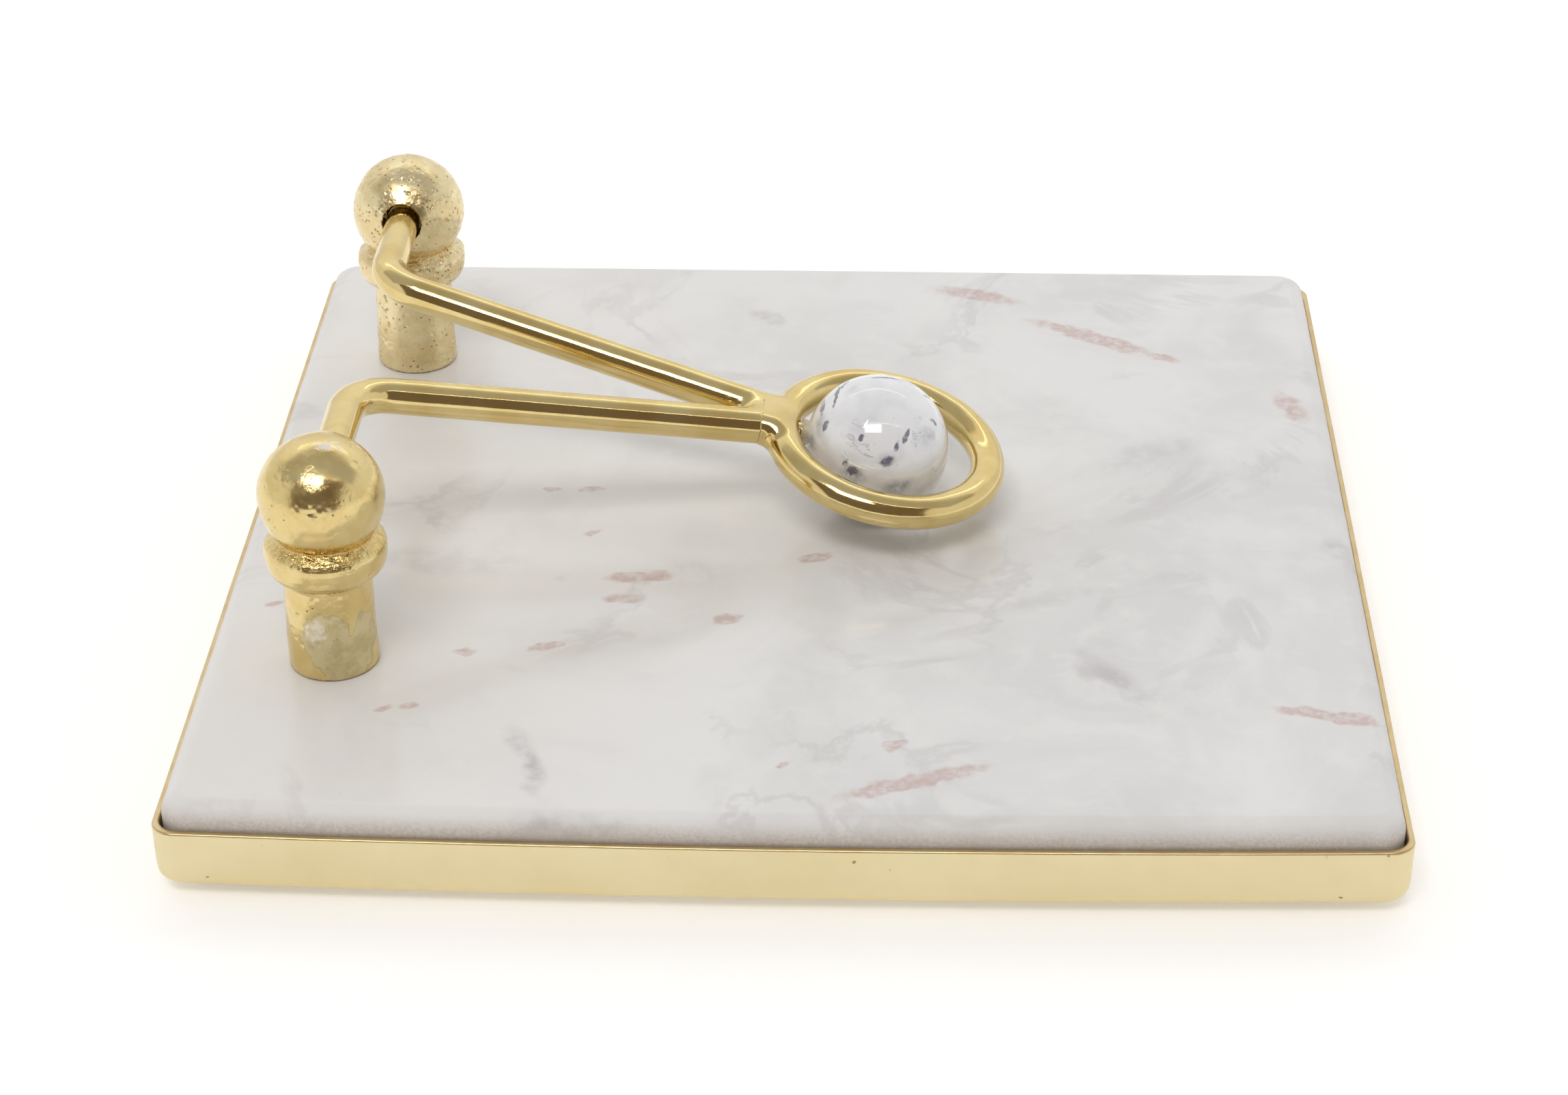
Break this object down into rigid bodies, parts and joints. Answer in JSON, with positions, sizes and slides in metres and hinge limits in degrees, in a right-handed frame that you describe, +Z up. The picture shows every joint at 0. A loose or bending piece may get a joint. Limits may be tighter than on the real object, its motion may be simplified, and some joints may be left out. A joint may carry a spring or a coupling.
{
  "type": "napkin holder",
  "caption": "Square marble table napkin holder in a shallow gilt tray, with a swinging ring arm that holds the napkins down by its own weight",
  "frame": {"origin": "on the table, under the middle of the tray", "axes": "+X runs from the two posts towards the stone ball, +Y from the front to the rear, +Z up"},
  "size_m": [0.19, 0.1914, 0.0561],
  "materials": {
    "tray_gilt": "satin champagne gold plating",
    "post_gilt": "gold plating over a pitted sand casting",
    "arm_gilt": "polished gold plating",
    "braze": "brazed and plated",
    "marble": "polished white marble with faint grey clouds and pink specks",
    "howlite": "polished white stone with dark blue-grey veins",
    "glue": "clear set glue",
    "foam": "dark closed-cell foam",
    "rubber": "matt black rubber",
    "screw_steel": "zinc plated"
  },
  "bodies": {
    "base": {"tray": "tray_gilt", "bedding_pad": "foam", "marble_slab": "marble", "foot_front_left": "rubber", "foot_front_right": "rubber", "foot_rear_left": "rubber", "foot_rear_right": "rubber", "front_post": "post_gilt", "rear_post": "post_gilt", "post_washers": "screw_steel", "post_screws": "screw_steel"},
    "arm": {"front_arm_rod": "arm_gilt", "rear_arm_rod": "arm_gilt", "neck_braze": "braze", "ring": "arm_gilt", "ball_pin": "arm_gilt", "pin_glue": "glue", "stone_ball": "howlite"}
  },
  "joints": [
    {"name": "arm_swing", "type": "hinge", "parent": "base", "child": "arm", "pos_m": [-0.0727, 0.0018, 0.0471], "axis": [0, -1, 0], "range_deg": [0, 214]}
  ]
}
